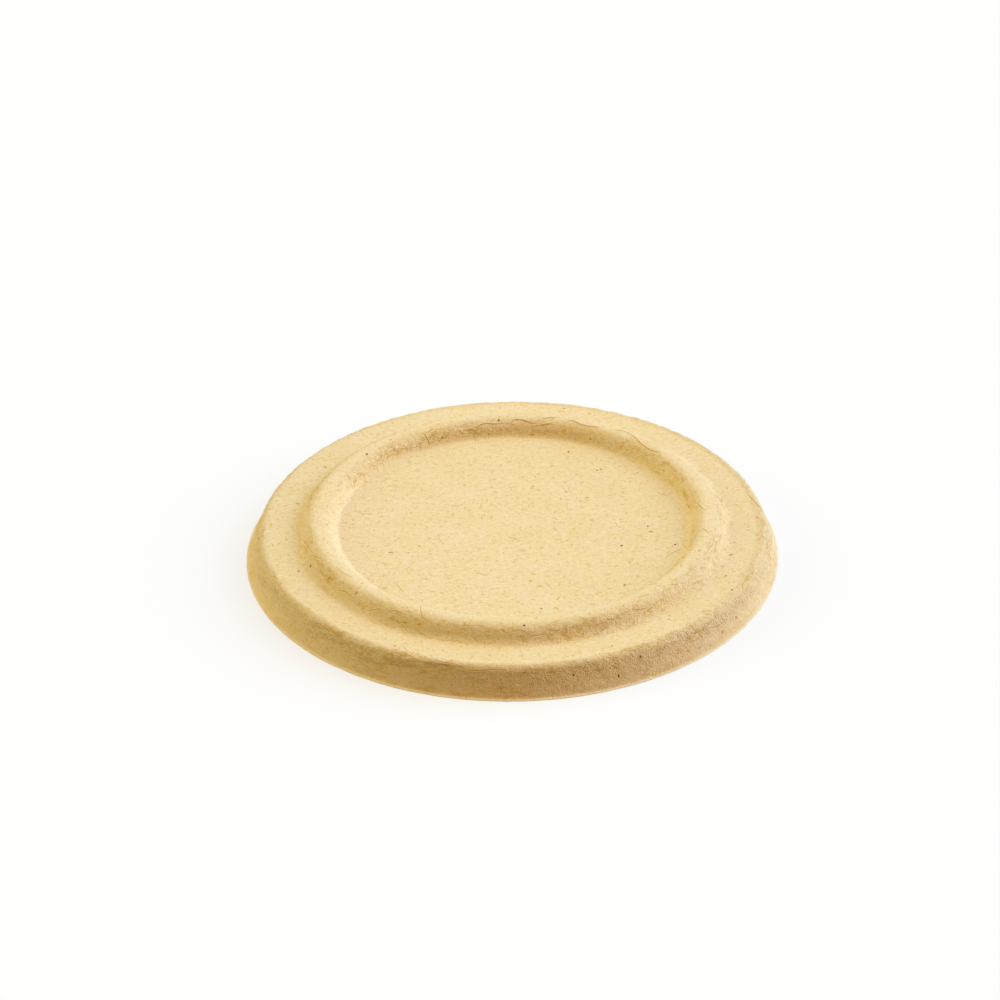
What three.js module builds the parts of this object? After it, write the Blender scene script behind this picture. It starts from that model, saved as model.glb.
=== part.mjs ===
// A lid for a takeaway soup cup, pressed from unbleached plant fibre as one sheet of even thickness.
// From the middle outwards the section is a flat disc, a raised stiffening ring, a flat shelf that seats on the
// cup's rolled rim, a rounded shoulder, a skirt that flares down outside the rim, and at the skirt's foot the
// thin flash that the trimming die leaves. The underside is the same section, one sheet thickness in.
// Millimetres, +Z up. The origin is the centre of the plane that the skirt's foot stands on.

import * as THREE from "three";

// Driving dimensions. Heights are above the foot, and radii and heights are those of the upper face.
const RIM_DIAMETER = 121.5; // over the trim flash, the widest place
const SHEET_THICKNESS = 0.8;
const SHELF_HEIGHT = 7.0;
const DISC_HEIGHT = 7.1;
const RING_CREST_DIAMETER = 88.8; // the circle that the ring's crest lies on
const RING_CREST_HEIGHT = 10.5;
const RING_CROWN_RADIUS = 3.8; // the convex arc over the crest
const RING_INNER_TOE_RADIUS = 1.8; // the concave arc from the ring down to the disc
const RING_OUTER_TOE_RADIUS = 2.2; // the concave arc from the ring down to the shelf
const SHOULDER_RADIUS = 1.8;
const SKIRT_DRAFT = THREE.MathUtils.degToRad(22.5); // the skirt's flare, from the vertical
const FLASH_WIDTH = 0.5; // how far the trim flash stands out from the skirt
const FLASH_THICKNESS = 0.3;

// How finely the turned surface is divided.
const TURN_SEGMENTS = 96;
const ARC_STEP = THREE.MathUtils.degToRad(15);

const fibre = new THREE.MeshStandardMaterial({ name: "natural_fibre", color: 0xeed9ab, roughness: 0.92, metalness: 0 });

// Section points carry the way out of the sheet, so that the underside follows from the upper face:
// { r, z } is the place and { nr, nz } the outward normal.
function sectionPoint(r, z, normalAngle) {
  return { r, z, nr: Math.cos(normalAngle), nz: Math.sin(normalAngle) };
}

// Points of an arc in the section about (centreR, centreZ). The angles are those of the outward normal,
// so a convex arc lies on the normal's side of its centre and a concave one on the other.
function arc(centreR, centreZ, radius, fromNormal, toNormal, bulge) {
  const steps = Math.max(2, Math.ceil(Math.abs(toNormal - fromNormal) / ARC_STEP));
  const points = [];
  for (let i = 0; i <= steps; i++) {
    const normal = fromNormal + ((toNormal - fromNormal) * i) / steps;
    const reach = bulge === "convex" ? radius : -radius;
    points.push(sectionPoint(centreR + reach * Math.cos(normal), centreZ + reach * Math.sin(normal), normal));
  }
  return points;
}

const UP = Math.PI / 2; // the normal of a level face

// Each side of the ring is a toe and half of the crown, two arcs that run into each other. They share the
// steepest slope, which their radii and the rise above the flat fix between them. side is -1 for the side
// towards the disc and 1 for the side towards the shelf, and the points run outwards from the axis.
function ringSide(side, flatHeight, toeRadius) {
  const crestRadius = RING_CREST_DIAMETER / 2;
  const slope = Math.acos(1 - (RING_CREST_HEIGHT - flatHeight) / (RING_CROWN_RADIUS + toeRadius));
  const toeCentre = crestRadius + side * (RING_CROWN_RADIUS + toeRadius) * Math.sin(slope);
  const steepest = UP - side * slope;
  const toe = arc(toeCentre, flatHeight + toeRadius, toeRadius, UP, steepest, "concave");
  const crown = arc(crestRadius, RING_CREST_HEIGHT - RING_CROWN_RADIUS, RING_CROWN_RADIUS, steepest, UP, "convex");
  const climb = [...toe, ...crown.slice(1)];
  return side < 0 ? climb : climb.reverse();
}

function ringSection() {
  const inner = ringSide(-1, DISC_HEIGHT, RING_INNER_TOE_RADIUS);
  const outer = ringSide(1, SHELF_HEIGHT, RING_OUTER_TOE_RADIUS);
  return [...inner, ...outer.slice(1)];
}

// The shoulder turns the level shelf into the skirt, which runs down to the foot at its draft.
function shoulderAndSkirt() {
  const footRadius = RIM_DIAMETER / 2 - FLASH_WIDTH;
  const skirtRadiusAt = (z) => footRadius - z * Math.tan(SKIRT_DRAFT);
  const skirtTurn = UP - SKIRT_DRAFT;
  const setBack = SHOULDER_RADIUS * Math.tan(skirtTurn / 2); // from the sharp corner to where the arc starts
  const shoulder = arc(
    skirtRadiusAt(SHELF_HEIGHT) - setBack, SHELF_HEIGHT - SHOULDER_RADIUS, SHOULDER_RADIUS, UP, SKIRT_DRAFT, "convex",
  );
  return [...shoulder, sectionPoint(footRadius, 0, SKIRT_DRAFT)];
}

// The lid's whole section as one closed outline, from the axis along the upper face, round the foot and back
// to the axis along the underside. The foot is cut level with the plane that it stands on.
function lidOutline() {
  const upper = [sectionPoint(0, DISC_HEIGHT, UP), ...ringSection(), ...shoulderAndSkirt()];
  const foot = upper.pop();
  const rimRadius = RIM_DIAMETER / 2;
  const skirtRadiusAtFlash = foot.r - FLASH_THICKNESS * Math.tan(SKIRT_DRAFT);
  const flash = [
    new THREE.Vector2(skirtRadiusAtFlash, FLASH_THICKNESS),
    new THREE.Vector2(rimRadius, FLASH_THICKNESS),
    new THREE.Vector2(rimRadius, 0),
  ];
  const footInside = new THREE.Vector2(foot.r - SHEET_THICKNESS / Math.cos(SKIRT_DRAFT), 0);
  const upperFace = upper.map((p) => new THREE.Vector2(p.r, p.z));
  const underside = upper.map((p) => new THREE.Vector2(p.r - SHEET_THICKNESS * p.nr, p.z - SHEET_THICKNESS * p.nz));
  return [...upperFace, ...flash, footInside, ...underside.reverse()];
}

function buildLid() {
  const outline = lidOutline();
  outline.reverse(); // LatheGeometry's faces point outwards when the outline climbs on the outside
  const geometry = new THREE.LatheGeometry(outline, TURN_SEGMENTS);
  geometry.rotateX(Math.PI / 2); // the lathe turns about +Y, and the lid stands along +Z
  const mesh = new THREE.Mesh(geometry, fibre);
  mesh.name = "lid";
  return mesh;
}

const soupCupLid = new THREE.Group();
soupCupLid.add(buildLid());

export default soupCupLid;
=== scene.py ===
import bpy
import numpy as np
from mathutils import Matrix, Vector


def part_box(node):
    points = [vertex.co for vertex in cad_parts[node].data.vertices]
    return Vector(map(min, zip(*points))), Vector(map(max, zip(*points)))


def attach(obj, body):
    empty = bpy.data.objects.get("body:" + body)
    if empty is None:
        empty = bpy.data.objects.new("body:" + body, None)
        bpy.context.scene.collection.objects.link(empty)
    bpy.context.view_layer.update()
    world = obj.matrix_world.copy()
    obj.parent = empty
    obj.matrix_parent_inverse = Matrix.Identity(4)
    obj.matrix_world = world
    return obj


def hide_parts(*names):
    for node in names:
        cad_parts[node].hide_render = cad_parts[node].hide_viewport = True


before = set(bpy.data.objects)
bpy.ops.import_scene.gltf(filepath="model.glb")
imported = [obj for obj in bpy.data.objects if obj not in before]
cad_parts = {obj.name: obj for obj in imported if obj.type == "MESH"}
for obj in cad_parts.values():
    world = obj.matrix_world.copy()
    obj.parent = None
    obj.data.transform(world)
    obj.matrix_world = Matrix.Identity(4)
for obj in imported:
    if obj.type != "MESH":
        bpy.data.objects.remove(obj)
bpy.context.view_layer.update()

MM = 0.001  # metres in a millimetre

# The lid's section, as in the part's source. The rim and the crest come from the frame.
_, box_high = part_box("lid")
RIM_RADIUS = box_high.x / MM
CREST_HEIGHT = box_high.z / MM
SHEET_THICKNESS = 0.8
SHELF_HEIGHT = 7.0
DISC_HEIGHT = 7.1
CREST_RADIUS = 44.4
CROWN_RADIUS = 3.8
INNER_TOE_RADIUS = 1.8
OUTER_TOE_RADIUS = 2.2
SHOULDER_RADIUS = 1.8
SKIRT_DRAFT = np.radians(22.5)
FLASH_WIDTH = 0.5
FLASH_THICKNESS = 0.3

# How finely the sheet is divided: points round a ring at the rim, and the spacing of rings.
RING_POINTS = 768
UNDERSIDE_POINTS = 384
SLOPE_SPACING = 0.36
FLAT_SPACING = 1.1
UNDERSIDE_SPACING = 0.75

UP = np.pi / 2  # the section angle of a level face's normal


# Smooth random fields

def lattice_noise(x, y, seed, turn=None):
    """Value noise from -1 to 1: random numbers on a unit lattice, joined by a quintic ease. Whole arrays.
    With turn given, the field repeats every turn cells along x."""
    cells = turn or 256
    values = np.random.default_rng(seed).uniform(-1, 1, (cells, 256))
    column, row = np.floor(x).astype(int), np.floor(y).astype(int)
    across, along = x - column, y - row
    across = across**3 * (across * (across * 6 - 15) + 10)
    along = along**3 * (along * (along * 6 - 15) + 10)
    left, right = column % cells, (column + 1) % cells
    low, high = row % 256, (row + 1) % 256
    near = values[left, low] * (1 - across) + values[right, low] * across
    far = values[left, high] * (1 - across) + values[right, high] * across
    return near * (1 - along) + far * along


def ease(value, start, end):
    """0 before start, 1 after end, and a smooth cubic between them."""
    t = np.clip((value - start) / (end - start), 0, 1)
    return t * t * (3 - 2 * t)


# The section

def section_arc(centre_r, centre_z, radius, start, end, bulge):
    """Points (r, z, normal angle) along an arc whose outward normal turns from start to end.
    A convex arc lies on the normal's side of its centre, and a concave one on the other."""
    angle = np.linspace(start, end, 25)
    reach = radius if bulge == "convex" else -radius
    return np.stack([centre_r + reach * np.cos(angle), centre_z + reach * np.sin(angle), angle], axis=1)


def ring_side(side, flat_height, toe_radius):
    """Toe and half the crown, on the disc's side (-1) or the shelf's side (1) of the ring's crest."""
    slope = np.arccos(1 - (CREST_HEIGHT - flat_height) / (CROWN_RADIUS + toe_radius))
    toe_centre = CREST_RADIUS + side * (CROWN_RADIUS + toe_radius) * np.sin(slope)
    steepest = UP - side * slope
    toe = section_arc(toe_centre, flat_height + toe_radius, toe_radius, UP, steepest, "concave")
    crown = section_arc(CREST_RADIUS, CREST_HEIGHT - CROWN_RADIUS, CROWN_RADIUS, steepest, UP, "convex")
    climb = np.concatenate([toe, crown[1:]])
    return climb if side < 0 else climb[::-1]


def upper_section():
    """The upper face from the axis to the flash, as rows of (r, z, normal angle)."""
    foot_radius = RIM_RADIUS - FLASH_WIDTH
    shelf_corner = foot_radius - SHELF_HEIGHT * np.tan(SKIRT_DRAFT)
    set_back = SHOULDER_RADIUS * np.tan((UP - SKIRT_DRAFT) / 2)
    shoulder = section_arc(
        shelf_corner - set_back, SHELF_HEIGHT - SHOULDER_RADIUS, SHOULDER_RADIUS, UP, SKIRT_DRAFT, "convex"
    )
    skirt_end = (foot_radius - FLASH_THICKNESS * np.tan(SKIRT_DRAFT), FLASH_THICKNESS, SKIRT_DRAFT)
    inner = ring_side(-1, DISC_HEIGHT, INNER_TOE_RADIUS)
    outer = ring_side(1, SHELF_HEIGHT, OUTER_TOE_RADIUS)
    return np.concatenate([[(0, DISC_HEIGHT, UP)], inner, outer[1:], shoulder, [skirt_end]])


SECTION = upper_section()
DISTANCE = np.concatenate([[0], np.cumsum(np.hypot(*np.diff(SECTION[:, :2], axis=0).T))])
SKIRT_END = DISTANCE[-1]


def distance_at(radius):
    """How far along the section, from the axis, the upper face reaches a radius."""
    return np.interp(radius, SECTION[:, 0], DISTANCE)


def section_at(distance):
    """(r, z, normal angle) of the upper face at distances along the section."""
    return [np.interp(distance, DISTANCE, SECTION[:, k]) for k in range(3)]


# Places along the section where its character changes
RING_INNER_TOE = distance_at(ring_side(-1, DISC_HEIGHT, INNER_TOE_RADIUS)[0, 0])
RING_CREST = distance_at(CREST_RADIUS)
RING_OUTER_TOE = distance_at(ring_side(1, SHELF_HEIGHT, OUTER_TOE_RADIUS)[-1, 0])
mid_shoulder = SHELF_HEIGHT - SHOULDER_RADIUS / 2
SHOULDER = distance_at(RIM_RADIUS - FLASH_WIDTH - mid_shoulder * np.tan(SKIRT_DRAFT))


# Relief of the sheet: how deep its creases go on each face, and how high its lumps stand where it is drawn
UPPER_CREASE = 0.14
UNDER_CREASE = 0.06
DRAWN_LUMPS = 0.10


def steepness(distance):
    """How much a place on the sheet was drawn over the mould: 1 on the ring's sides and the shoulder,
    half on the skirt, 0 on the flats."""
    inner = ease(distance, RING_INNER_TOE, RING_INNER_TOE + 2)
    inner = inner * (1 - ease(distance, RING_CREST - 3, RING_CREST))
    outer = ease(distance, RING_CREST, RING_CREST + 3)
    outer = outer * (1 - ease(distance, RING_OUTER_TOE - 1.5, RING_OUTER_TOE + 1))
    shoulder = ease(distance, SHOULDER - 3, SHOULDER - 0.8)
    shoulder = shoulder * (1 - 0.5 * ease(distance, SHOULDER + 1, SHOULDER + 4))
    return inner + outer + shoulder


def sheet_wave(angle, distance):
    """Both faces: the slow unevenness of a sheet dried on its mould, which dies out down the skirt."""
    x, y = distance * np.cos(angle), distance * np.sin(angle)
    slow = 0.07 * lattice_noise(x / 24, y / 24, 11) + 0.03 * lattice_noise(x / 9, y / 9, 12)
    return slow * (1 - ease(distance, SHOULDER, SKIRT_END - 2))


def creases(angle, distance):
    """Folds that run round the drawn places: the ridges of a noise stretched along the ring, in patches."""
    around = angle * CREST_RADIUS
    turn = 2 * np.pi * CREST_RADIUS
    wander = lattice_noise(around / turn * 50, distance / 3, 21, 50)
    lines = lattice_noise(around / turn * 90, distance / 0.95 + 1.6 * wander, 22, 90)
    patches = ease(lattice_noise(around / turn * 34, distance / 4, 23, 34), -0.3, 0.6)
    return np.clip(1 - 3.2 * np.abs(lines), 0, 1) ** 1.5 * patches * steepness(distance)


def felt(angle, distance, seed):
    """One face alone: the small lumps of the fibre."""
    x, y = distance * np.cos(angle), distance * np.sin(angle)
    return 0.016 * lattice_noise(x / 2.3, y / 2.3, seed) + 0.008 * lattice_noise(x / 1.2, y / 1.2, seed + 1)


def relief(angle, distance, under):
    """How far out of its section each face lies. The wave moves both faces, the rest only one."""
    x, y = distance * np.cos(angle), distance * np.sin(angle)
    lumps = DRAWN_LUMPS * steepness(distance) * lattice_noise(x / 1.25, y / 1.25, 34)
    upper = felt(angle, distance, 31) + lumps - UPPER_CREASE * creases(angle, distance)
    lower = -1.3 * felt(angle, distance, 41) - UNDER_CREASE * creases(angle + 1, distance)
    return sheet_wave(angle, distance) + np.where(under > 0, lower, upper)


def on_face(angle, distance, under):
    """Points of a face, relief and all, and the ways out of it."""
    r, z, normal = section_at(distance)
    out = relief(angle, distance, under) - SHEET_THICKNESS * (under > 0)
    r, z = r + out * np.cos(normal), z + out * np.sin(normal)
    outward = np.where(under > 0, -1, 1) * np.stack(
        [np.cos(normal) * np.cos(angle), np.cos(normal) * np.sin(angle), np.sin(normal)]
    )
    return np.stack([r * np.cos(angle), r * np.sin(angle), z], axis=-1), np.moveaxis(outward, 0, -1)


# The sheet as one closed mesh of rings

def spaced(start, end, spacing):
    """Evenly spaced distances from start up to, but not at, end."""
    return np.linspace(start, end, max(2, round((end - start) / spacing) + 1))[:-1]


def ring_count(distance, most):
    """Points in a ring: halved towards the axis, so that the faces stay about square."""
    halvings = np.clip(np.floor(np.log2(0.62 * SKIRT_END / np.maximum(distance, 1.5))), 0, 4)
    return (most / 2**halvings).astype(int)


def sheet_rings():
    """The outline as rings from the upper face's middle, over the foot, to the underside's middle.
    Each is (r, z, normal angle, distance along the section, points, 1 on the underside)."""
    upper = np.concatenate([
        [0.0, 1.2],
        spaced(2.4, RING_INNER_TOE - 1, FLAT_SPACING),
        spaced(RING_INNER_TOE - 1, RING_OUTER_TOE + 0.5, SLOPE_SPACING),
        spaced(RING_OUTER_TOE + 0.5, SHOULDER - 2, 0.7),
        spaced(SHOULDER - 2, SHOULDER + 1.2, 0.3),
        spaced(SHOULDER + 1.2, SKIRT_END, 0.5),
        [SKIRT_END],
    ])
    under = np.concatenate([
        [0.0, 2.5],
        spaced(5, RING_INNER_TOE - 1, 2.4),
        spaced(RING_INNER_TOE - 1, RING_OUTER_TOE + 0.5, UNDERSIDE_SPACING),
        spaced(RING_OUTER_TOE + 0.5, SHOULDER - 2, 1.6),
        spaced(SHOULDER - 2, SHOULDER + 1.2, 0.5),
        spaced(SHOULDER + 1.2, SKIRT_END, 0.9),
        [SKIRT_END],
    ])[::-1]
    r, z, normal = section_at(upper)
    rings = [np.stack([r, z, normal, upper, ring_count(upper, RING_POINTS), 0 * r], axis=1)]
    # The flash thins towards its edge, and the lid stands on the level cut inside it.
    thin, worn = 0.12, 0.05
    root = r[-1]
    edge = [
        (root + 0.1, FLASH_THICKNESS - 0.02, 0.8 * UP),
        (RIM_RADIUS - 2 * worn, thin + 0.03, 0.8 * UP),
        (RIM_RADIUS - 0.4 * worn, 0.8 * thin, UP / 2),
        (RIM_RADIUS, 0.5 * thin, 0),
        (RIM_RADIUS - 0.4 * worn, 0.2 * thin, -UP / 2),
        (RIM_RADIUS - 2 * worn, 0, -UP),
    ]
    run = SKIRT_END + 0.12 * np.arange(1, len(edge) + 1)
    rings.append(np.array([(*point, s, RING_POINTS, 0) for point, s in zip(edge, run)]))
    inside = RIM_RADIUS - FLASH_WIDTH - SHEET_THICKNESS / np.cos(SKIRT_DRAFT)
    rings.append(np.array([
        (inside + 0.5, 0, -UP, SKIRT_END + 1.4, RING_POINTS, 0),
        (inside + 0.08, 0.0, -UP, SKIRT_END + 1.9, UNDERSIDE_POINTS, 0),
    ]))
    r, z, normal = section_at(under)
    r, z = r - SHEET_THICKNESS * np.cos(normal), z - SHEET_THICKNESS * np.sin(normal)
    z[0] = np.maximum(z[0], 0.08)
    rings.append(np.stack([r, z, normal, under, ring_count(under, UNDERSIDE_POINTS), 1 + 0 * r], axis=1))
    rings = np.concatenate(rings)
    rings[[0, -1], 4] = 1  # the two poles
    return rings


def stitch(first, inner, second, outer):
    """Faces between a ring of inner points from index first and one of outer points from index second.
    Rings alike are joined by quads, a ring and one twice as fine by three triangles to each coarse step,
    and a pole by a fan."""
    def at(start, count, k):
        return start + k % count
    if inner == outer:
        k = np.arange(inner)
        corners = [first + k, second + k, at(second, outer, k + 1), at(first, inner, k + 1)]
        return np.stack(corners, axis=1).tolist()
    k = np.arange(min(inner, outer)) if min(inner, outer) > 1 else np.arange(max(inner, outer))
    if inner == 1:
        return np.stack([first + 0 * k, second + k, at(second, outer, k + 1)], axis=1).tolist()
    if outer == 1:
        return np.stack([first + k, second + 0 * k, at(first, inner, k + 1)], axis=1).tolist()
    if outer == 2 * inner:
        a, b = first + k, at(first, inner, k + 1)
        c, d, e = second + 2 * k, second + 2 * k + 1, at(second, outer, 2 * k + 2)
        faces = [(a, c, d), (a, d, b), (b, d, e)]
    else:
        a, b = second + k, at(second, outer, k + 1)
        c, d, e = first + 2 * k, first + 2 * k + 1, at(first, inner, 2 * k + 2)
        faces = [(c, a, d), (d, a, b), (d, b, e)]
    return np.concatenate([np.stack(face, axis=1) for face in faces]).tolist()


def sheet_mesh():
    """The whole sheet: ring points placed by angle and moved by the relief, then stitched ring to ring."""
    rings = sheet_rings()
    counts = rings[:, 4].astype(int)
    starts = np.concatenate([[0], np.cumsum(counts)[:-1]])
    angle = np.concatenate([2 * np.pi * np.arange(n) / n for n in counts])
    r, z, normal, distance, _, under = np.repeat(rings, counts, axis=0).T
    on_edge = ease(distance, SKIRT_END, SKIRT_END + 0.1)
    out = relief(angle, distance, under) * np.where(under > 0, 1, 1 - on_edge)
    r, z = r + out * np.cos(normal), z + out * np.sin(normal)
    # The trimming die sat a little off the middle, so the flash is wider on one side. Its edge is ragged.
    ragged = lattice_noise(angle / (2 * np.pi) * 240, 0 * angle, 51, 240)
    narrower = 0.19 * (1 + np.cos(angle - np.radians(50))) + 0.04 * (1 - ragged)
    r = r - narrower * ease(r, RIM_RADIUS - 0.5 * FLASH_WIDTH, RIM_RADIUS - 0.1) * on_edge * (under < 1)
    points = np.stack([r * np.cos(angle), r * np.sin(angle), np.maximum(z, 0)], axis=1)
    faces, faces_under = [], []
    for k in range(len(counts) - 1):
        new = stitch(starts[k], counts[k], starts[k + 1], counts[k + 1])
        faces += new
        faces_under += [rings[k + 1, 5]] * len(new)
    flat = np.stack([distance * np.cos(angle), distance * np.sin(angle)], axis=1)
    cut = on_edge * (under < 1)  # the trimmed edge: flash and foot
    return points, faces, np.array(faces_under), flat, steepness(distance), cut


def mesh_piece(name, points, faces, material):
    """A smooth-shaded mesh object at the origin, from points in millimetres."""
    mesh = bpy.data.meshes.new(name)
    mesh.from_pydata((np.asarray(points) * MM).tolist(), [], faces)
    mesh.polygons.foreach_set("use_smooth", np.ones(len(mesh.polygons), bool))
    mesh.materials.append(material)
    mesh.update()
    piece = bpy.data.objects.new(name, mesh)
    bpy.context.scene.collection.objects.link(piece)
    return piece


UNDERSIDE_SHIFT = 300.0  # the underside's patterns are taken this far along, so that they differ


def lid_sheet(material):
    points, faces, faces_under, flat, steep, cut = sheet_mesh()
    piece = mesh_piece("lid_sheet", points, faces, material)
    mesh = piece.data
    # The unrolled sheet as a UV map in millimetres: angle round the axis, and distance along the section.
    corner = np.zeros(len(mesh.loops), np.int32)
    mesh.loops.foreach_get("vertex_index", corner)
    sizes = np.array([len(face) for face in faces])
    shift = np.repeat(faces_under, sizes) * UNDERSIDE_SHIFT
    unrolled = flat[corner] + np.stack([shift, 0 * shift], axis=1)
    layer = mesh.uv_layers.new(name="sheet")
    layer.uv.foreach_set("vector", unrolled.astype(np.float32).ravel())
    for name, values in (("drawn", steep), ("cut", cut)):
        attribute = mesh.attributes.new(name, "FLOAT", "POINT")
        attribute.data.foreach_set("value", values.astype(np.float32))
    return piece


# Fibres that lie in the surface, and strands of painted shade and highlight along the folds

# Folds and stray fibres that the lid shows, as lines of (azimuth, distance): degrees from the right-hand
# side towards the back, and millimetres along the section from the axis.
# Each fold is drawn only as strands: a dark one of painted shade, and a pale one of painted highlight below
# it.
RING_FOLDS = [
    [(108.3, 42.5), (104, 42.3), (101, 42.9), (98.6, 43.6), (95.6, 43.1), (92, 43.3), (88.9, 42.8)],
    [(90.3, 43.5), (88.6, 44.3), (85.7, 43.9), (83.7, 43.3), (82.3, 43.2)],
    [(80, 44.7), (77.8, 45.4), (75.9, 45.7)],
    [(72.7, 45.3), (70, 45.1), (67.8, 44.5), (64.8, 44.5), (61.8, 44.9)],
    [(56.6, 45.6), (54.2, 46.4), (51, 46), (45.8, 44.5), (41.2, 44), (37.3, 45)],
    [(83.2, 42.4), (80, 43), (77.6, 43.5), (76.2, 43.4)],
    [(119, 44.2), (117.9, 40.8)],
    [(113.2, 41.9), (114.6, 40.8)],
    [(6.8, 43.6), (4, 44.1), (1.6, 44.9)],
    [(-9, 44.7), (-11.8, 46.6)],
    [(187.2, 50.4), (191, 49.5), (193.7, 49.2), (195.7, 49), (198.3, 48.4)],
    [(199.9, 48.6), (202.3, 47.9)],
    [(209, 46.4), (211, 46.3), (212.6, 46.2), (216.6, 45.7)],
    [(215.5, 50.2), (218.4, 49.4), (221.8, 49.8)],
    [(228, 50.7), (231, 49.4), (232.4, 49.3)],
    [(233.8, 50), (234.9, 48.8), (236.4, 48.2), (239.5, 48.5)],
    [(255.5, 48.1), (258.2, 48.1), (260.2, 47.7), (262.5, 48)],
    [(262.4, 48.9), (264, 49.3)],
    [(268.7, 49.2), (271.7, 48.4), (274.3, 49.7), (274.3, 51.4)],
    [(274.9, 50), (278.5, 49.7)],
    [(278.7, 48.1), (280.7, 47.4), (283, 46.8)],
    [(293.2, 51.1), (295.6, 50.7)],
    [(304, 48.7), (305.9, 49.3), (308.2, 49.5)],
    [(306.4, 50.1), (307.8, 51.3)],
]
SHOULDER_FOLDS = [
    [(242.9, 56.8), (246.1, 59.1), (248.5, 60), (250.1, 60.2), (252.7, 59.6)],
    [(252.7, 59.8), (254.6, 60), (256.5, 59.9), (258.3, 60.4), (260, 61.1)],
    [(260.3, 61.2), (264, 60.8), (265.7, 60.5), (267.5, 60.6)],
    [(256.3, 66), (257.6, 66.6), (259, 66.8)],
    [(288.5, 62.8), (290.4, 62.1), (292.3, 61.1), (294.9, 59.7)],
    [(294.4, 61.5), (295.7, 62.2)],
    [(298.8, 61.9), (299.4, 63)],
    [(305.7, 64.8), (305.5, 66), (305.8, 67)],
    [(309, 59.8), (310.4, 60.1)],
    [(311, 60.5), (311.6, 61.3)],
    [(312.3, 61.1), (313.1, 62.1), (314, 61.8)],
    [(318.8, 57.8), (320.7, 59.5), (321.4, 61.3)],
    [(197.2, 60), (198.9, 59.1)],
    [(199.8, 60), (202.3, 59.3)],
    [(225.6, 60.6), (228.2, 61)],
    [(14, 58.4), (10.9, 59), (7.8, 60), (6.2, 60.6)],
]
STRAY_FIBRES = [
    [(-23.4, 36.9), (-21.4, 37.1), (-18.3, 37.9), (-14.4, 39.6)],
    [(5.2, 59.2), (3.8, 57.6), (2, 56.6), (-0.6, 56.1)],
    [(-31.7, 60.7), (-30.9, 61.7), (-29.8, 62.3)],
    [(-23, 59.7), (-26.4, 59.6), (-27.7, 60.7), (-27.5, 61.6)],
    [(-27, 59.1), (-28.7, 59.7)],
    [(-21.6, 55.2), (-20.5, 55.6)],
    [(-40.8, 47.4), (-38.5, 48.4)],
    [(-34.5, 47.7), (-32.6, 48)],
    [(166.3, 52.2), (168, 51), (172, 49.2), (174.3, 48.6)],
    [(161.8, 43.8), (158, 43.3)],
    [(169.8, 34.9), (169.1, 32.2)],
    [(207.4, 33.3), (210.4, 31.4)],
    [(221.7, 39.6), (221.8, 37.3)],
    [(223.5, 35.3), (228.3, 36.5)],
    [(239.4, 40.1), (241.5, 44), (243.8, 47.2), (245.5, 48.3), (247, 48.4)],
    [(21.7, 36.5), (19.8, 37.8)],
    [(4.4, 24.5), (3.1, 26.1)],
    [(3.6, 23.4), (-0.7, 24)],
    [(-8.6, 28.5), (-9.5, 29.9)],
    [(-8.9, 33.7), (-10.2, 35.4)],
    [(54, 36.9), (50.7, 37.9)],
    [(-73.6, 24.2), (-71.8, 27.6)],
    [(-52.6, 46.4), (-48.5, 46.9)],
    [(296.2, 48.3), (296.7, 47.4)],
    [(118.5, 43.7), (114.8, 44.1)],
    [(171.5, 60), (170.2, 59.6)],
]
# Short thick fibres and bits of bran, each by its middle
BRAN_BITS = [
    (147.8, 54), (167.4, 53.2), (182.4, 61), (63.4, 41.5), (97.6, 40.8), (83.1, 40.6),
    (237.9, 50.3), (240.3, 50.1), (244.3, 49.6), (267.2, 48.5), (242.1, 58.1), (200.6, 54),
    (-21.6, 46.3), (-14.8, 53.5), (50.3, 19.4), (35.6, 21.1), (74.5, 18.1), (50.1, 32.2),
    (-45.5, 35.4), (-31, 30.5), (-80.5, 23.5), (-79.8, 35.1), (201.2, 29.4), (31.3, 41.8),
    (27.1, 43.4), (-5.1, 31.5), (210.5, 49.3), (222.1, 48.4), (-33.2, 64.3), (-39, 65),
    (-44, 61.9), (-66.7, 57), (76.7, 57.4), (267.2, 64.7), (-24.6, 55),
]
DARK_SPECKS = [
    (50.9, 31.3), (8.8, 41.1), (-0.8, 30.7), (-19.4, 26.1), (-13, 37.6), (94, 44.1),
    (68, 35.3), (272.9, 47.5), (140.9, 44.7), (-29.6, 58.7), (298.3, 61.9), (292.6, 64.7),
    (282.8, 62.7), (113.4, 41.7), (200.6, 50.9),
]

# Painted highlight: a pale strand lies this far below each fold's line of painted shade.
FOLD_HIGHLIGHT_OFFSET = 0.26  # from a fold's dark line to the raised lip below it


def drawn_lines(lines, steps, shift=0.0):
    """Azimuths in radians and distances along given lines, in even steps with rounded corners."""
    placed = []
    for line in lines:
        angle, distance = np.array(line, float).T
        angle = np.radians(angle)
        run = np.concatenate([[0], np.cumsum(np.hypot(np.diff(angle) * distance[1:], np.diff(distance)))])
        even = np.linspace(0, run[-1], steps)
        track = np.stack([np.interp(even, run, angle), np.interp(even, run, distance + shift)])
        for _ in range(2):
            track[:, 1:-1] = (track[:, :-2] + 2 * track[:, 1:-1] + track[:, 2:]) / 4
        placed.append(track)
    return np.array(placed)


def short_bits(middles, length, steps, seed):
    """Short straight lines about given middles, each with a heading and a length of its own."""
    random = np.random.default_rng(seed)
    angle, distance = np.array(middles, float).T
    heading = random.uniform(0, np.pi, len(middles))[:, None]
    reach = length * random.uniform(0.7, 1.5, len(middles))[:, None] * np.linspace(-0.5, 0.5, steps)
    return np.stack([
        np.radians(angle)[:, None] + reach * np.cos(heading) / distance[:, None],
        distance[:, None] + reach * np.sin(heading),
    ], axis=1)


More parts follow.
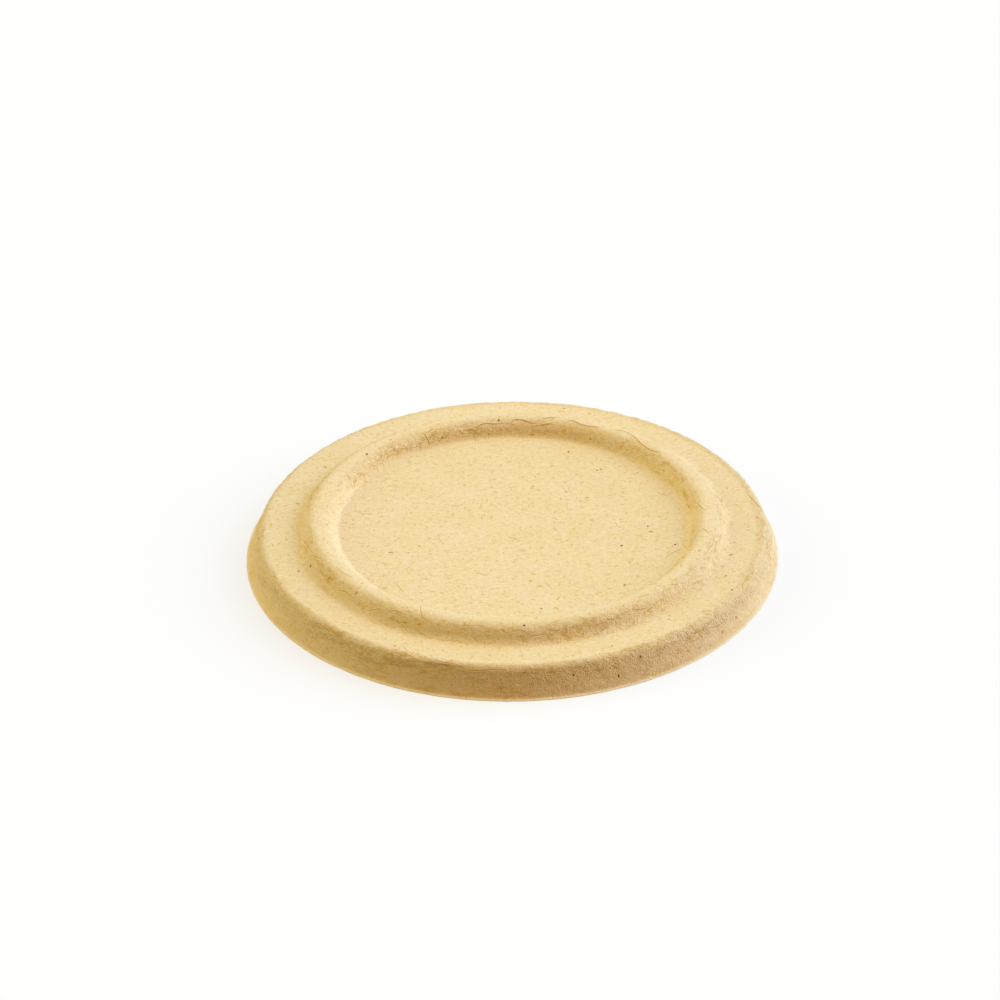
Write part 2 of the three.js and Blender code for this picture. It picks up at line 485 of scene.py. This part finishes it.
def scattered_lines(count, length, steps, seed):
    """Lines thrown evenly over the sheet: any heading, bowed, with many short ones and few long ones."""
    random = np.random.default_rng(seed)
    distance = random.uniform(3, SKIRT_END - 1.2, 4 * count)
    distance = distance[random.uniform(0, SKIRT_END, 4 * count) < distance][:count, None]
    count = len(distance)
    angle, heading = random.uniform(0, 2 * np.pi, (2, count, 1))
    reach = length * (0.4 + random.exponential(0.6, (count, 1)).clip(0, 2.4))
    along = np.linspace(-0.5, 0.5, steps)
    bow = random.normal(0, 0.35, (count, 1)) * reach * (along**2 - 0.1)
    kink = random.normal(0, 0.12, (count, 1)) * reach * np.sin(2 * np.pi * along)
    across = bow + kink
    turned = angle + (reach * along * np.cos(heading) - across * np.sin(heading)) / distance
    out = distance + reach * along * np.sin(heading) + across * np.cos(heading)
    return np.stack([turned, np.clip(out, 0.5, SKIRT_END - 0.4)], axis=1)


FIBRE_SIDES = 5
FIBRE_LIFT = 0.008  # how far a strand's middle lies out of the face


def strand_points(lines, width, under, flatness=0.4):
    """Flattened strands, half sunk in a face: at each step of a line, points on an ellipse across it.
    The width tapers to the ends by the square root of a half sine.
    Returns an array of strands, steps, sides and x, y, z."""
    middle, outward = on_face(lines[:, 0], lines[:, 1], under * np.ones_like(lines[:, 0]))
    along = np.gradient(middle, axis=1)
    along /= np.linalg.norm(along, axis=-1, keepdims=True)
    across = np.cross(along, outward)
    steps = lines.shape[2]
    uneven = np.random.default_rng(64).uniform(0.7, 1.25, (len(lines), steps))
    taper = uneven * np.sqrt(np.sin(np.pi * (np.arange(steps) + 0.15) / (steps - 0.7)))
    half = 0.5 * width[:, None, None, None] * taper[:, :, None, None]
    turn = (2 * np.pi * np.arange(FIBRE_SIDES) / FIBRE_SIDES)[None, None, :, None]
    ellipse = np.cos(turn) * across[:, :, None] + flatness * np.sin(turn) * outward[:, :, None]
    return middle[:, :, None] + FIBRE_LIFT * outward[:, :, None] + half * ellipse


def strand_faces(count, steps, first):
    """Quads along each strand and a cap at both ends, wound to face outwards."""
    numbers = [np.arange(count), np.arange(steps - 1), np.arange(FIBRE_SIDES)]
    strand, step, side = np.meshgrid(*numbers, indexing="ij")
    base = first + (strand * steps + step) * FIBRE_SIDES
    ahead = (side + 1) % FIBRE_SIDES
    above = base + FIBRE_SIDES
    quads = np.stack([base + side, base + ahead, above + ahead, above + side], axis=-1)
    ring = first + np.arange(count)[:, None] * steps * FIBRE_SIDES + np.arange(FIBRE_SIDES)
    last = ring + (steps - 1) * FIBRE_SIDES
    return quads.reshape(-1, 4).tolist() + ring[:, ::-1].tolist() + last.tolist()


def strand_groups():
    """Every strand to make, in groups: the lines, the least and most width, the least and most tone, and
    1 for the underside."""
    folds = RING_FOLDS + SHOULDER_FOLDS
    groups = [
        # Dark strands along the folds: painted shade in their cracks, in a golden-brown tone.
        (drawn_lines(folds, 26), (0.24, 0.34), (0.22, 0.42), 0),
        # Pale strands just below them: painted highlights on the folds' lips.
        (drawn_lines(folds, 26, FOLD_HIGHLIGHT_OFFSET), (0.22, 0.34), (0.0, 0.08), 0),
        (drawn_lines(STRAY_FIBRES, 20), (0.18, 0.26), (0.15, 0.32), 0),
        (short_bits(BRAN_BITS, 0.8, 7, 62), (0.36, 0.55), (0.30, 0.48), 0),
        (short_bits(DARK_SPECKS, 0.5, 7, 63), (0.4, 0.5), (0.85, 1), 0),
    ]
    for under, seed in ((0, 70), (1, 80)):
        groups += [
            (scattered_lines(220, 2.2, 8, seed), (0.10, 0.16), (0.05, 0.16), under),
            (scattered_lines(160, 1.2, 8, seed + 1), (0.10, 0.20), (0.12, 0.28), under),
            (scattered_lines(280, 0.4, 6, seed + 2), (0.22, 0.38), (0.14, 0.36), under),
        ]
    return groups


def surface_fibres_and_fold_shading(material):
    """All the strands as one mesh, with each one's tone as an attribute: 0 is bleached and 1 dark."""
    random = np.random.default_rng(61)
    points, faces, tones = [], [], []
    placed = 0
    for lines, widths, tone_range, under in strand_groups():
        width = random.uniform(*widths, len(lines))
        tone = random.uniform(*tone_range, len(lines))
        strands = strand_points(lines, width, under)
        faces += strand_faces(len(lines), lines.shape[2], placed)
        points.append(strands.reshape(-1, 3))
        tones.append(np.repeat(tone, strands.shape[1] * FIBRE_SIDES))
        placed += len(points[-1])
    points = np.concatenate(points)
    points[:, 2] = np.maximum(points[:, 2], 0)
    piece = mesh_piece("surface_fibres_and_fold_shading", points, faces, material)
    attribute = piece.data.attributes.new("tone", "FLOAT", "POINT")
    attribute.data.foreach_set("value", np.concatenate(tones).astype(np.float32))
    return piece


# Shader maths

class Socket:
    """One output of a node. Arithmetic on it adds Math nodes."""

    def __init__(self, shader, link):
        self.shader, self.link = shader, link

    def math(self, operation, *values):
        return self.shader.node("ShaderNodeMath", {"operation": operation}, dict(enumerate(values)))

    def __add__(self, other):
        return self.math("ADD", self, other)

    def __mul__(self, other):
        return self.math("MULTIPLY", self, other)

    def __sub__(self, other):
        return self.math("SUBTRACT", self, other)

    def __rsub__(self, other):
        return self.math("SUBTRACT", other, self)

    def __pow__(self, other):
        return self.math("POWER", self, other)

    __radd__ = __add__
    __rmul__ = __mul__

    def largest(self, other):
        return self.math("MAXIMUM", self, other)

    def between(self, low, high):
        """0 below low, 1 above high, and a smooth step between them."""
        settings = {"interpolation_type": "SMOOTHSTEP"}
        return self.shader.node("ShaderNodeMapRange", settings, {0: self, 1: low, 2: high})


class Shader:
    """A node tree that is built by calls."""

    def __init__(self, tree):
        self.tree = tree
        tree.nodes.clear()

    def node(self, kind, settings=None, sockets=None, output=0):
        """Adds a node of that kind, sets its settings and the values or links of its sockets, and gives one
        of its outputs."""
        node = self.tree.nodes.new(kind)
        for name, value in (settings or {}).items():
            if name == "stops":
                self.fill_ramp(node.color_ramp, value)
            else:
                setattr(node, name, value)
        for name, value in (sockets or {}).items():
            if isinstance(value, Socket):
                self.tree.links.new(value.link, node.inputs[name])
            else:
                node.inputs[name].default_value = value
        return Socket(self, node.outputs[output]) if len(node.outputs) else node

    @staticmethod
    def fill_ramp(ramp, stops):
        while len(ramp.elements) < len(stops):
            ramp.elements.new(0.5)
        for element, (position, colour) in zip(ramp.elements, stops):
            element.position, element.color = position, colour

    def colour(self, factor, first, second):
        """first where factor is 0, second where it is 1."""
        return self.node("ShaderNodeMix", {"data_type": "RGBA"}, {0: factor, 6: first, 7: second}, 2)

    def noise(self, place, scale, detail=2.0, roughness=0.5):
        sockets = {"Vector": place, "Scale": scale, "Detail": detail, "Roughness": roughness}
        return self.node("ShaderNodeTexNoise", {}, sockets)

    def stretched(self, place, turn, scale):
        """A flat place turned by an angle in degrees and scaled along both axes."""
        sockets = {"Vector": place, "Rotation": (0, 0, np.radians(turn)), "Scale": (*scale, 1)}
        return self.node("ShaderNodeMapping", {}, sockets)

    def dashes(self, place, turn, length, width, share, reach=0.25):
        """Short strokes at one angle: nearest-point distance in cells stretched to length by width,
        kept in a share of the cells."""
        cell = self.stretched(place, turn, (1 / length, 1 / width))
        settings = {"voronoi_dimensions": "2D", "feature": "F1"}
        sockets = {"Vector": cell, "Scale": 1.0}
        distance = self.node("ShaderNodeTexVoronoi", settings, sockets)
        chance = self.node("ShaderNodeTexVoronoi", settings, sockets, 1)
        chance = self.node("ShaderNodeSeparateColor", {}, {0: chance}, 0)
        picked = chance.between(1 - share - 0.01, 1 - share + 0.01)
        return (1 - distance.between(reach * 0.35, reach)) * picked


def new_material(name):
    material = bpy.data.materials.new(name)
    material.use_nodes = True
    return material, Shader(material.node_tree)


PALE_STRAW = (0.895, 0.750, 0.500, 1)
STRAW = (0.825, 0.638, 0.300, 1)
GOLDEN = (0.740, 0.470, 0.110, 1)
BRAN = (0.480, 0.245, 0.025, 1)
DARK_BRAN = (0.120, 0.060, 0.012, 1)
BLEACHED = (0.940, 0.830, 0.600, 1)
# Painted shade for the fine folds
CREASE_SHADE = (0.620, 0.360, 0.045, 1)


def drawn_wrinkles(shader):
    """Fine folds that run round the lid, in patches: where a noise, long round the axis and short across
    the section, passes its middle value. Its four coordinates are the way out from the axis times a number
    of folds, the radius and the height, so that it has no seam."""
    place = shader.node("ShaderNodeTexCoord", {}, {}, "Object")
    flat = shader.node("ShaderNodeVectorMath", {"operation": "MULTIPLY"}, {0: place, 1: (1, 1, 0)})
    outward = shader.node("ShaderNodeVectorMath", {"operation": "NORMALIZE"}, {0: flat})
    radius = shader.node("ShaderNodeVectorMath", {"operation": "LENGTH"}, {0: flat}, 1)
    height = shader.node("ShaderNodeSeparateXYZ", {}, {0: place}, 2)
    rise = shader.node("ShaderNodeCombineXYZ", {}, {2: radius * (0.9 / MM)})
    settings = {"noise_dimensions": "4D"}
    def around(folds, scale, detail):
        sockets = {0: outward, 1: (folds, folds, 0), 2: rise}
        way = shader.node("ShaderNodeVectorMath", {"operation": "MULTIPLY_ADD"}, sockets)
        sockets = {"Vector": way, "W": height * (0.9 / MM), "Scale": scale, "Detail": detail}
        return shader.node("ShaderNodeTexNoise", settings, {**sockets, "Distortion": 0.6})
    off_middle = around(16, 1.0, 2.0) - 0.5
    line = (1 - off_middle.math("ABSOLUTE", off_middle) * 13.0).largest(0.0)
    return line * around(12, 0.37, 1.0).between(0.48, 0.60)


def pressed_fibre():
    """Unbleached fibre: a mottled straw ground with faint flecks and short fibres lying in all directions.
    Where the sheet was drawn over the mould its lumps and fine folds show, with painted shade in the folds
    and in the hollows between the lumps, and its cut edge is paler."""
    material, shader = new_material("pressed_fibre")
    sheet = shader.node("ShaderNodeUVMap", {"uv_map": "sheet"})
    drawn = shader.node("ShaderNodeAttribute", {"attribute_name": "drawn"}, {}, 2)
    cut = shader.node("ShaderNodeAttribute", {"attribute_name": "cut"}, {}, 2)
    sockets = {"Vector": sheet, "Scale": 0.5}
    drift = shader.node("ShaderNodeTexNoise", {"noise_dimensions": "2D"}, sockets, 1)
    sockets = {0: drift, 1: (2.6, 2.6, 0), 2: sheet}
    bent = shader.node("ShaderNodeVectorMath", {"operation": "MULTIPLY_ADD"}, sockets)
    cloud = shader.noise(sheet, 0.10, 3.0)
    mottle = shader.noise(sheet, 0.9, 3.0, 0.6)
    grain = shader.noise(sheet, 3.0, 3.0, 0.6)
    flecks = shader.dashes(bent, 20, 1.5, 1.1, 0.12, 0.26)
    for turn in (65, 110, 155):
        flecks = flecks.largest(shader.dashes(bent, turn, 1.5, 1.1, 0.12, 0.26))
    fibres = shader.dashes(bent, 0, 3.2, 0.7, 0.10)
    for turn in (37, 74, 111, 148):
        fibres = fibres.largest(shader.dashes(bent, turn, 3.2, 0.7, 0.10))

    tone = cloud * 0.15 + mottle * 0.45 + grain * 0.60
    ground = shader.colour(tone.between(0.46, 0.74), PALE_STRAW, STRAW)
    ground = shader.colour(fibres * 0.20, ground, GOLDEN)
    ground = shader.colour(flecks * 0.65, ground, GOLDEN)
    lumps = shader.noise(sheet, 1.6, 4.0, 0.65)
    # Golden on the drawn places, in the hollows between the lumps that the bump below raises: partly the
    # fibre's golden mottling, partly painted shade in those hollows.
    ground = shader.colour(drawn * (1 - lumps.between(0.42, 0.56)) * 0.26, ground, GOLDEN)
    wrinkles = drawn_wrinkles(shader) * drawn
    # Painted shade: the fine folds, which the bump below also sinks, are darkened in colour.
    ground = shader.colour(wrinkles * 0.55, ground, CREASE_SHADE)
    ground = shader.colour(cut * 0.5, ground, BLEACHED)

    height = grain * 0.5 + mottle * 0.3 - fibres * 0.2
    height = height + drawn * (lumps * 4.5 + grain * 2.0) - wrinkles * 1.2
    bump = shader.node("ShaderNodeBump", {}, {"Strength": 1.0, "Distance": 0.08 * MM, "Height": height})
    surface = shader.node("ShaderNodeBsdfPrincipled", {}, {
        "Base Color": ground,
        "Roughness": 0.75 + grain * 0.2,
        "Specular IOR Level": 0.15,
        "Normal": bump,
    })
    shader.node("ShaderNodeOutputMaterial", {}, {"Surface": surface})
    return material


def loose_fibre_and_fold_shading():
    """The strands: pale, bran or dark by their tone, each a little uneven along its length. Along the
    folds, the dark strands are painted shade and the pale ones painted highlights.
    """
    material, shader = new_material("loose_fibre_and_fold_shading")
    place = shader.node("ShaderNodeTexCoord", {}, {}, "Object")
    uneven = shader.noise(place, 900.0, 2.0)
    tone = shader.node("ShaderNodeAttribute", {"attribute_name": "tone"}, {}, 2) + (uneven - 0.5) * 0.2
    stops = [(0.0, BLEACHED), (0.28, GOLDEN), (0.62, BRAN), (1.0, DARK_BRAN)]
    colour = shader.node("ShaderNodeValToRGB", {"stops": stops}, {0: tone})
    surface = shader.node("ShaderNodeBsdfPrincipled", {}, {
        "Base Color": colour,
        "Roughness": 0.7 + uneven * 0.2,
        "Specular IOR Level": 0.15,
    })
    shader.node("ShaderNodeOutputMaterial", {}, {"Surface": surface})
    return material


# Stage

def floor_material():
    """White to the camera, with the lid's shadow kept, and the warm tone of a worktop to bounced light."""
    material, shader = new_material("worktop")
    seen = seen_directly(shader)
    shadowed = shader.node("ShaderNodeBsdfDiffuse", {}, {"Color": (0.94, 0.97, 1.00, 1)})
    clear = shader.node("ShaderNodeEmission", {}, {"Color": (1, 1, 1, 1), "Strength": 1.0})
    white = shader.node("ShaderNodeMixShader", {}, {0: 0.65, 1: shadowed, 2: clear})
    warm = shader.node("ShaderNodeBsdfDiffuse", {}, {"Color": (0.22, 0.11, 0.03, 1)})
    surface = shader.node("ShaderNodeMixShader", {}, {0: seen, 1: warm, 2: white})
    shader.node("ShaderNodeOutputMaterial", {}, {"Surface": surface})
    return material


def seen_directly(shader):
    """1 for rays from the camera, and for those that a gloss or a glass sends on."""
    def ray(kind):
        return shader.node("ShaderNodeLightPath", {}, {}, kind)
    return ray("Is Camera Ray").largest(ray("Is Glossy Ray")).largest(ray("Is Transmission Ray"))


FLOOR_SIZE = 4000.0


def floor():
    half = FLOOR_SIZE / 2
    corners = [(-half, -half, 0), (half, -half, 0), (half, half, 0), (-half, half, 0)]
    piece = mesh_piece("floor", corners, [(0, 1, 2, 3)], floor_material())


# Soft light from large panels: where the middle of each stands, as its azimuth from behind the lid (0)
# towards its right (90) and its elevation, in degrees, how narrow it is, and its colour times its strength.
# Cool light comes from behind on the right, and warm light from the front right and the left.
PANELS = [
    (0, 78, 4, (0.40, 0.28, 0.20)),
    (60, 50, 6, (1.20, 1.50, 1.10)),
    (50, 20, 6, (0.45, 0.95, 2.20)),
    (350, 25, 6, (0.20, 0.25, 0.70)),
    (75, 12, 8, (2.90, 3.60, 4.70)),
    (115, 10, 8, (2.30, 1.10, 0.20)),
    (275, 10, 8, (3.40, 3.60, 2.40)),
    (270, 50, 6, (1.05, 0.60, 0.15)),
]


def studio_light():
    """A sky that sums a cosine lobe for each panel. The camera, glosses and glasses see it white."""
    world = bpy.data.worlds.new("studio")
    bpy.context.scene.world = world
    world.use_nodes = True
    shader = Shader(world.node_tree)
    direction = shader.node("ShaderNodeTexCoord", {}, {}, "Generated")
    light = (0, 0, 0)
    for azimuth, elevation, narrowness, colour in PANELS:
        a, e = np.radians(azimuth), np.radians(elevation)
        towards = (np.sin(a) * np.cos(e), np.cos(a) * np.cos(e), np.sin(e))
        sockets = {0: direction, 1: towards}
        facing = shader.node("ShaderNodeVectorMath", {"operation": "DOT_PRODUCT"}, sockets, 1)
        lobe = facing.largest(0.0) ** narrowness
        sockets = {0: lobe, 1: colour, 2: light}
        light = shader.node("ShaderNodeVectorMath", {"operation": "MULTIPLY_ADD"}, sockets)
    panels = shader.node("ShaderNodeBackground", {}, {"Color": light, "Strength": 1.0})
    white = shader.node("ShaderNodeBackground", {}, {"Color": (1, 1, 1, 1), "Strength": 1.0})
    surface = shader.node("ShaderNodeMixShader", {}, {0: seen_directly(shader), 1: panels, 2: white})
    shader.node("ShaderNodeOutputWorld", {}, {"Surface": surface})


# Camera: where it stands, and where the middle of the foot's plane lies in the frame of 1000 by 1000 pixels
FRAME_PIXELS = 1000
CAMERA_DISTANCE = 1030.0
CAMERA_ELEVATION = np.radians(32.07)
CAMERA_ROLL = np.radians(-0.59)
FOCAL_PIXELS = 4517.0
MIDDLE_PIXEL = (512.8, 552.9)
SENSOR = 36.0


def camera():
    """Looks along +Y and down. It is turned until the origin falls on its pixel, so it needs no shift."""
    back = np.array([0, -np.cos(CAMERA_ELEVATION), np.sin(CAMERA_ELEVATION)])
    right = np.array([1.0, 0, 0])
    up = np.cross(back, right)
    turn = CAMERA_ROLL
    right, up = np.cos(turn) * right + np.sin(turn) * up, np.cos(turn) * up - np.sin(turn) * right
    across = (MIDDLE_PIXEL[0] - FRAME_PIXELS / 2) / FOCAL_PIXELS
    down = (MIDDLE_PIXEL[1] - FRAME_PIXELS / 2) / FOCAL_PIXELS
    forward = -back - across * right + down * up
    forward /= np.linalg.norm(forward)
    right = right - (right @ forward) * forward
    right /= np.linalg.norm(right)
    up = np.cross(right, forward)
    lens = bpy.data.cameras.new("camera")
    lens.sensor_width = SENSOR
    lens.lens = FOCAL_PIXELS / FRAME_PIXELS * SENSOR
    lens.clip_end = 20
    holder = bpy.data.objects.new("camera", lens)
    bpy.context.scene.collection.objects.link(holder)
    turned = Matrix(np.stack([right, up, -forward], axis=1).tolist()).to_4x4()
    holder.matrix_world = Matrix.Translation(Vector(back * CAMERA_DISTANCE * MM)) @ turned
    bpy.context.scene.camera = holder


bpy.context.scene.view_settings.view_transform = "Standard"
camera()
floor()
studio_light()

lid = lid_sheet(pressed_fibre())
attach(lid, "root")
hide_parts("lid")

fibres = surface_fibres_and_fold_shading(loose_fibre_and_fold_shading())
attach(fibres, "root")
